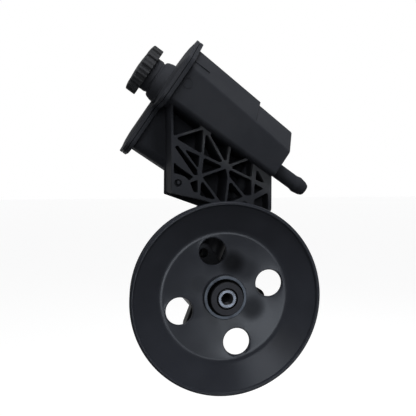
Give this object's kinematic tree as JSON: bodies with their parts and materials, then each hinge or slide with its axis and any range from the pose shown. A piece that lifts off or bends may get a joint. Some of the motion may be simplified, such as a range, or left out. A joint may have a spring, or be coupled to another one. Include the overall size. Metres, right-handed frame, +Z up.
{
  "type": "power steering pump",
  "caption": "Power steering pump with a grooved pulley, a ribbed truss bracket and a leaning moulded reservoir with a screw cap.",
  "frame": {"origin": "on the shaft axis, in the plane of the front faces of the three mounting ears", "axes": "-Y along the shaft towards the pulley, +X to the right seen from the pulley, +Z up as the pump hangs in the picture"},
  "size_m": [0.1717, 0.1045, 0.3001],
  "materials": {
    "painted_steel": "satin black paint on pressed steel",
    "hub_steel": "black coating on turned steel, worn to a soft sheen",
    "shaft_steel": "ground steel, bare on its end",
    "bright_steel": "machined steel",
    "sintered_iron": "ground sintered iron",
    "spring_steel": "oiled spring steel",
    "cast_aluminium": "die cast, painted black",
    "bronze": "sintered bronze",
    "rubber": "black nitrile rubber",
    "black_nylon": "black glass-filled nylon with a satin face",
    "cap_nylon": "black nylon, slightly rough"
  },
  "bodies": {
    "pump_and_reservoir": {"pump_housing": "cast_aluminium", "shaft_seal": "rubber", "front_bush": "bronze", "front_pressure_plate": "sintered_iron", "cam_ring": "bright_steel", "rear_pressure_plate": "sintered_iron", "locating_pin_upper": "bright_steel", "locating_pin_lower": "bright_steel", "pressure_plate_spring": "spring_steel", "end_plate": "bright_steel", "end_plate_o_ring": "rubber", "end_plate_snap_ring": "spring_steel", "flow_control_spring": "spring_steel", "outlet_fitting": "bright_steel", "outlet_o_ring": "rubber", "reservoir_body": "black_nylon", "reservoir_bolt_left": "bright_steel", "reservoir_bolt_right": "bright_steel", "reservoir_cover": "black_nylon", "suction_o_ring": "rubber"},
    "pulley_and_rotor": {"pulley_sheave": "painted_steel", "pulley_hub": "hub_steel", "drive_shaft": "shaft_steel", "rotor": "sintered_iron", "rotor_retaining_ring": "spring_steel"},
    "vane_slot_01": {"vane_01": "bright_steel"},
    "vane_slot_02": {"vane_02": "bright_steel"},
    "vane_slot_03": {"vane_03": "bright_steel"},
    "vane_slot_04": {"vane_04": "bright_steel"},
    "vane_slot_05": {"vane_05": "bright_steel"},
    "vane_slot_06": {"vane_06": "bright_steel"},
    "vane_slot_07": {"vane_07": "bright_steel"},
    "vane_slot_08": {"vane_08": "bright_steel"},
    "vane_slot_09": {"vane_09": "bright_steel"},
    "vane_slot_10": {"vane_10": "bright_steel"},
    "valve_spool": {"flow_control_valve": "bright_steel"},
    "hanging_dipstick": {"dipstick": "cap_nylon"},
    "screw_cap": {"filler_cap": "cap_nylon", "cap_seal": "rubber"}
  },
  "joints": [
    {"name": "pulley_spin", "type": "hinge", "parent": "pump_and_reservoir", "child": "pulley_and_rotor", "pos_m": [0, 0, 0], "axis": [0, -1, 0], "continuous": true},
    {"name": "vane_01_slide", "type": "slide", "parent": "pulley_and_rotor", "child": "vane_slot_01", "axis": [1, 0, 0], "range_m": [-0.0024, 0]},
    {"name": "vane_02_slide", "type": "slide", "parent": "pulley_and_rotor", "child": "vane_slot_02", "axis": [0.809, 0, 0.5878], "range_m": [-0.0024, 0]},
    {"name": "vane_03_slide", "type": "slide", "parent": "pulley_and_rotor", "child": "vane_slot_03", "axis": [0.309, 0, 0.9511], "range_m": [-0.0024, 0]},
    {"name": "vane_04_slide", "type": "slide", "parent": "pulley_and_rotor", "child": "vane_slot_04", "axis": [-0.309, 0, 0.9511], "range_m": [-0.0024, 0]},
    {"name": "vane_05_slide", "type": "slide", "parent": "pulley_and_rotor", "child": "vane_slot_05", "axis": [-0.809, 0, 0.5878], "range_m": [-0.0024, 0]},
    {"name": "vane_06_slide", "type": "slide", "parent": "pulley_and_rotor", "child": "vane_slot_06", "axis": [-1, 0, 0], "range_m": [-0.0024, 0]},
    {"name": "vane_07_slide", "type": "slide", "parent": "pulley_and_rotor", "child": "vane_slot_07", "axis": [-0.809, 0, -0.5878], "range_m": [-0.0024, 0]},
    {"name": "vane_08_slide", "type": "slide", "parent": "pulley_and_rotor", "child": "vane_slot_08", "axis": [-0.309, 0, -0.9511], "range_m": [-0.0024, 0]},
    {"name": "vane_09_slide", "type": "slide", "parent": "pulley_and_rotor", "child": "vane_slot_09", "axis": [0.309, 0, -0.9511], "range_m": [-0.0024, 0]},
    {"name": "vane_10_slide", "type": "slide", "parent": "pulley_and_rotor", "child": "vane_slot_10", "axis": [0.809, 0, -0.5878], "range_m": [-0.0024, 0]},
    {"name": "flow_valve_slide", "type": "slide", "parent": "pump_and_reservoir", "child": "valve_spool", "axis": [0, 0, 1], "range_m": [-0.0065, 0], "stiffness_N_per_m": 4000, "deforming": ["flow_control_spring"]},
    {"name": "cap_rise", "type": "slide", "parent": "pump_and_reservoir", "child": "hanging_dipstick", "axis": [-0.8241, 0, 0.5664], "range_m": [0, 0.004]},
    {"name": "cap_turn", "type": "hinge", "parent": "hanging_dipstick", "child": "screw_cap", "pos_m": [-0.05287, 0.02, 0.18789], "axis": [-0.8241, 0, 0.5664], "range_deg": [0, 360]}
  ],
  "couplings": [
    {"joint": "vane_06_slide", "follows": "vane_01_slide", "ratio": 1},
    {"joint": "vane_07_slide", "follows": "vane_02_slide", "ratio": 1},
    {"joint": "vane_08_slide", "follows": "vane_03_slide", "ratio": 1},
    {"joint": "vane_09_slide", "follows": "vane_04_slide", "ratio": 1},
    {"joint": "vane_10_slide", "follows": "vane_05_slide", "ratio": 1},
    {"joint": "cap_turn", "follows": "cap_rise", "rad_per_m": 1570.8}
  ]
}
